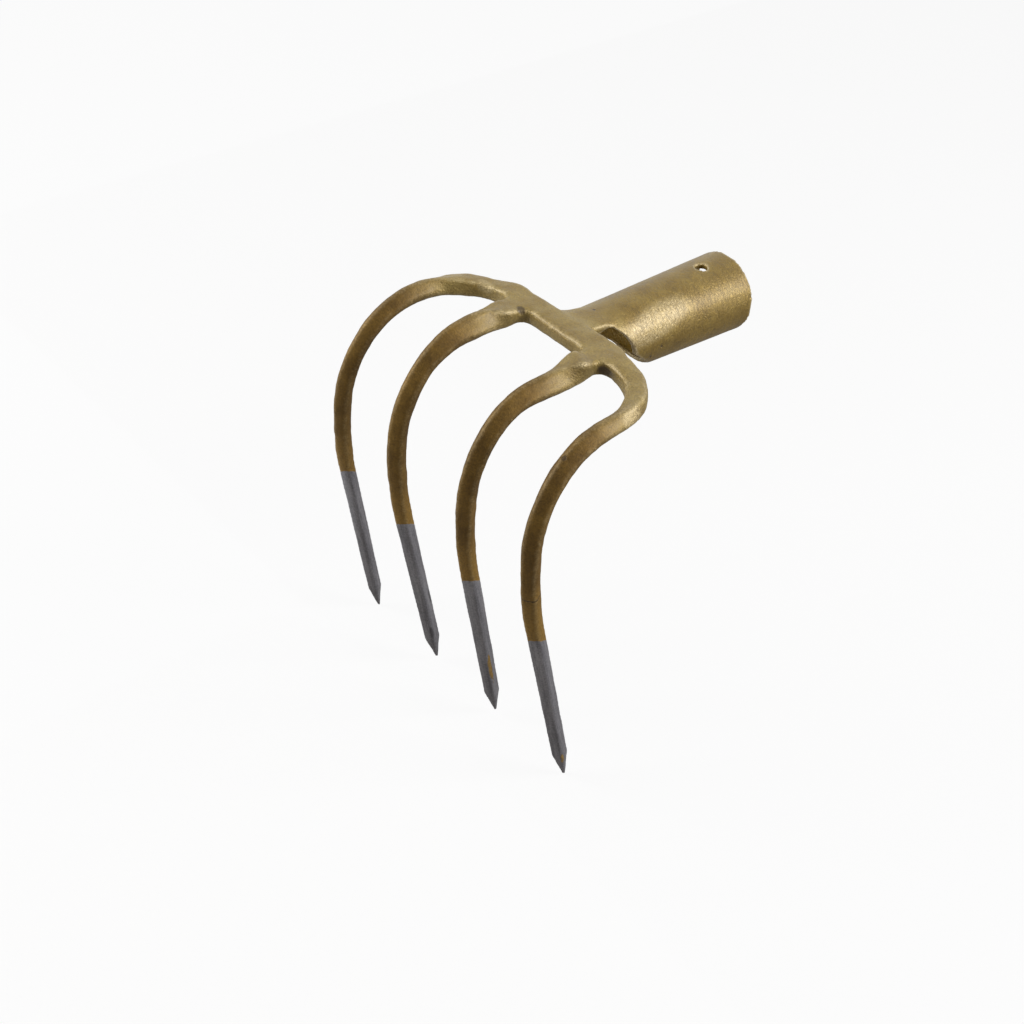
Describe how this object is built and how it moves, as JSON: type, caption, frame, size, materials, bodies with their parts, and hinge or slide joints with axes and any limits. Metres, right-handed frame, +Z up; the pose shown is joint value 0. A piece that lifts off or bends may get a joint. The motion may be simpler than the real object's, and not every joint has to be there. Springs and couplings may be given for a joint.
{
  "type": "potato fork head",
  "caption": "Forged garden fork head with long curved square tines set at right angles to a rolled tapered handle socket.",
  "frame": {"origin": "centre of the socket's mouth", "axes": "+Y out of the socket's mouth along the handle, +X across the tines, +Z up on the side with the nail hole; the tines hang down along -Z"},
  "size_m": [0.165, 0.1952, 0.2173],
  "materials": {
    "fork_head": "satin gold-bronze paint, ground bare at the tine ends"
  },
  "bodies": {
    "root": {"fork_head": "fork_head"}
  },
  "joints": []
}
